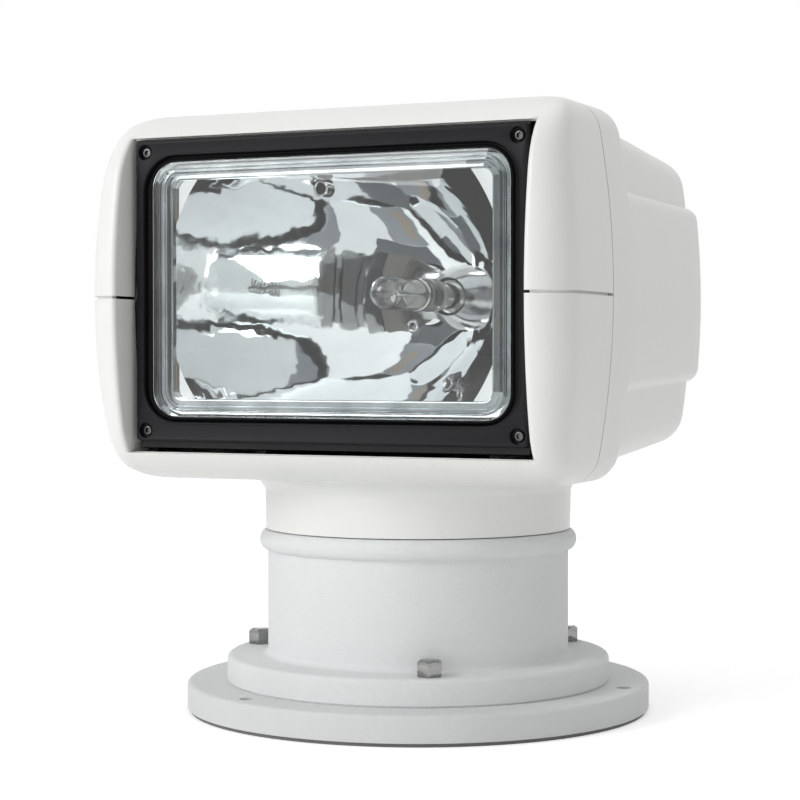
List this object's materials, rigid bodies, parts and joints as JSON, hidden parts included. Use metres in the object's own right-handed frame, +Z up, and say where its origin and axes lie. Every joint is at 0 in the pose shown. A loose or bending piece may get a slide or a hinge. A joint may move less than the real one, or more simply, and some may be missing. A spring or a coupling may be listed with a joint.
{
  "type": "marine searchlight",
  "caption": "Deck searchlight with a white head that pans on a round flanged pedestal and a rectangular lamp that tilts inside the head behind a dark bezel.",
  "frame": {"origin": "on the pan axis at the mounting plane, the underside of the gasket", "axes": "+Z up along the pan axis, the lamp faces -Y at rest, +X to the right of the lamp seen from the front"},
  "size_m": [0.2668, 0.2572, 0.3165],
  "materials": {
    "cast_white": "white powder coat with a fine cast texture",
    "shell_white": "smooth satin white moulding",
    "rubber": "black rubber",
    "stainless": "bright stainless steel",
    "steel": "plain bright steel",
    "brass": "turned brass",
    "gloss_black": "glossy black moulding",
    "charcoal": "dark charcoal satin moulding",
    "board": "green circuit board",
    "mirror_coat": "bright vacuum-metallised reflector",
    "clear_glass": "clear glass"
  },
  "bodies": {
    "base": {"mounting_gasket": "rubber", "base_plate": "cast_white", "cable_grommet": "rubber", "pedestal": "cast_white", "pedestal_studs": "stainless", "pedestal_nuts": "stainless", "pan_bush": "brass", "pan_seal": "rubber", "pan_motor": "steel", "pan_motor_screws": "stainless", "brush_block": "charcoal", "brushes": "brass"},
    "pan_drive": {"pan_pinion": "brass"},
    "head": {"turntable": "cast_white", "lower_front_shell": "shell_white", "upper_front_shell": "shell_white", "rear_cover": "shell_white", "pan_shaft": "steel", "flange_screws": "stainless", "pan_gear": "brass", "shaft_collar": "steel", "slip_ring": "brass", "control_board": "board", "lamp_yoke": "steel", "tilt_bushes": "brass", "tilt_motor_plate": "steel", "tilt_motor": "steel"},
    "tilt_drive": {"tilt_pinion": "brass"},
    "lamp": {"lamp_frame": "gloss_black", "trunnion_pins": "steel", "tilt_sector": "brass", "reflector": "mirror_coat", "lens_seal": "rubber", "lens_glass": "clear_glass", "bezel": "charcoal", "bezel_screws": "stainless", "bulb_glass": "clear_glass", "bulb_base": "brass", "bulb_retainer": "steel", "bulb_socket": "charcoal", "reflector_screw": "stainless"}
  },
  "joints": [
    {"name": "pan", "type": "hinge", "parent": "base", "child": "head", "pos_m": [0, 0, 0.0974], "axis": [0, 0, 1], "continuous": true},
    {"name": "pan_pinion_spin", "type": "hinge", "parent": "base", "child": "pan_drive", "pos_m": [0, 0.057, 0.1024], "axis": [0, 0, 1], "continuous": true},
    {"name": "tilt", "type": "hinge", "parent": "head", "child": "lamp", "pos_m": [0, -0.095, 0.2235], "axis": [-1, 0, 0], "range_deg": [-12, 12]},
    {"name": "tilt_pinion_spin", "type": "hinge", "parent": "head", "child": "tilt_drive", "pos_m": [0.1015, 0.041, 0.2235], "axis": [-1, 0, 0], "range_deg": [-91, 91]}
  ],
  "couplings": [
    {"joint": "pan_pinion_spin", "follows": "pan", "ratio": -3.75},
    {"joint": "tilt_pinion_spin", "follows": "tilt", "ratio": -7.5}
  ]
}
